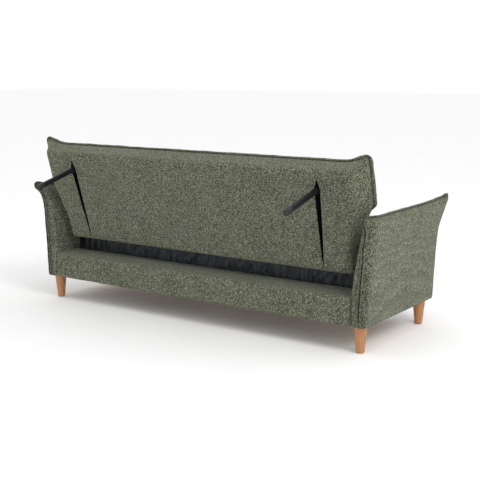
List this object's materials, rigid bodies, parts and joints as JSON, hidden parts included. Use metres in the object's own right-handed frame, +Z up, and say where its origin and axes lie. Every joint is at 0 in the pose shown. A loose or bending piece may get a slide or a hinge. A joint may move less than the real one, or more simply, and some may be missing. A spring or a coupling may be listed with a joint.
{
  "type": "click-clack sofa bed",
  "caption": "Upholstered sofa bed whose back reclines flat on fold-out rear legs, with flared pillow arms, tapered wooden legs and a lift-up seat over a storage box.",
  "frame": {"origin": "on the floor, under the middle of the whole sofa at rest (back upright, support legs swung out)", "axes": "+Z up, -Y the front of the sofa, +X the sitter's left"},
  "size_m": [2.088, 1.0424, 0.8842],
  "materials": {
    "boucle": "sage green boucle, speckled loops",
    "black_lining": "black non-woven lining",
    "foam": "open-cell foam",
    "webbing": "woven elastic webbing",
    "felt": "felt glide",
    "leg_wood": "satin lacquered beech",
    "frame_wood": "raw pine",
    "board": "raw chipboard",
    "hardboard": "brown hardboard",
    "hinge_steel": "black painted steel",
    "charcoal_steel": "charcoal powder coat",
    "zinc_steel": "zinc plated",
    "spring_steel": "oiled spring steel",
    "foot_rubber": "matte rubber"
  },
  "bodies": {
    "base": {"arm_bolts": "zinc_steel", "arm_cover_left": "boucle", "arm_cover_right": "boucle", "arm_frame_left": "frame_wood", "arm_frame_right": "frame_wood", "front_rail_board": "board", "front_rail_cover": "boucle", "hinge_base_bolts": "zinc_steel", "hinge_base_plate_left": "hinge_steel", "hinge_base_plate_right": "hinge_steel", "hinge_pins": "zinc_steel", "hinge_springs": "spring_steel", "leg_front_left": "leg_wood", "leg_front_right": "leg_wood", "leg_glides": "felt", "leg_plates": "zinc_steel", "leg_rear_left": "leg_wood", "leg_rear_right": "leg_wood", "leg_studs": "zinc_steel", "rear_rail_back_board": "board", "rear_rail_cover": "boucle", "rear_rail_front_board": "board", "rear_rail_ribs": "board", "rear_rail_top_board": "board", "side_rail_left": "board", "side_rail_right": "board", "storage_floor": "hardboard", "storage_floor_bearers": "board"},
    "seat": {"hinge_seat_arm_left": "hinge_steel", "hinge_seat_arm_right": "hinge_steel", "hinge_seat_bolts": "zinc_steel", "seat_cover": "boucle", "seat_cross_rail": "frame_wood", "seat_dust_cloth": "black_lining", "seat_foam": "foam", "seat_front_rail": "frame_wood", "seat_rear_lining": "black_lining", "seat_rear_rail": "frame_wood", "seat_side_rail_left": "frame_wood", "seat_side_rail_right": "frame_wood", "seat_webbing": "webbing"},
    "backrest": {"back_bottom_rail": "frame_wood", "back_cover": "boucle", "back_foam": "foam", "back_hinge_blocks": "frame_wood", "back_inner_posts": "frame_wood", "back_rear_panel": "boucle", "back_side_rails": "frame_wood", "back_top_rail": "frame_wood", "back_webbing": "webbing", "hinge_back_arm_left": "hinge_steel", "hinge_back_arm_right": "hinge_steel", "hinge_back_bolts": "zinc_steel", "support_bracket_screws": "zinc_steel", "support_leg_brackets": "hinge_steel", "support_leg_pins": "zinc_steel"},
    "support_leg_left": {"support_leg_foot_left": "foot_rubber", "support_leg_tube_left": "charcoal_steel"},
    "support_leg_right": {"support_leg_foot_right": "foot_rubber", "support_leg_tube_right": "charcoal_steel"}
  },
  "joints": [
    {"name": "seat_lift", "type": "hinge", "parent": "base", "child": "seat", "pos_m": [0, 0.05682, 0.372], "axis": [-1, 0, 0], "range_deg": [0, 40]},
    {"name": "backrest_recline", "type": "hinge", "parent": "base", "child": "backrest", "pos_m": [0, 0.05682, 0.372], "axis": [-1, 0, 0], "range_deg": [0, 74.6]},
    {"name": "support_leg_left_fold", "type": "hinge", "parent": "backrest", "child": "support_leg_left", "pos_m": [0.738, 0.24072, 0.72525], "axis": [-0.9988, 0.013, 0.0471], "range_deg": [0, 90]},
    {"name": "support_leg_right_fold", "type": "hinge", "parent": "backrest", "child": "support_leg_right", "pos_m": [-0.738, 0.24072, 0.72525], "axis": [-0.9988, -0.013, -0.0471], "range_deg": [0, 90]}
  ]
}
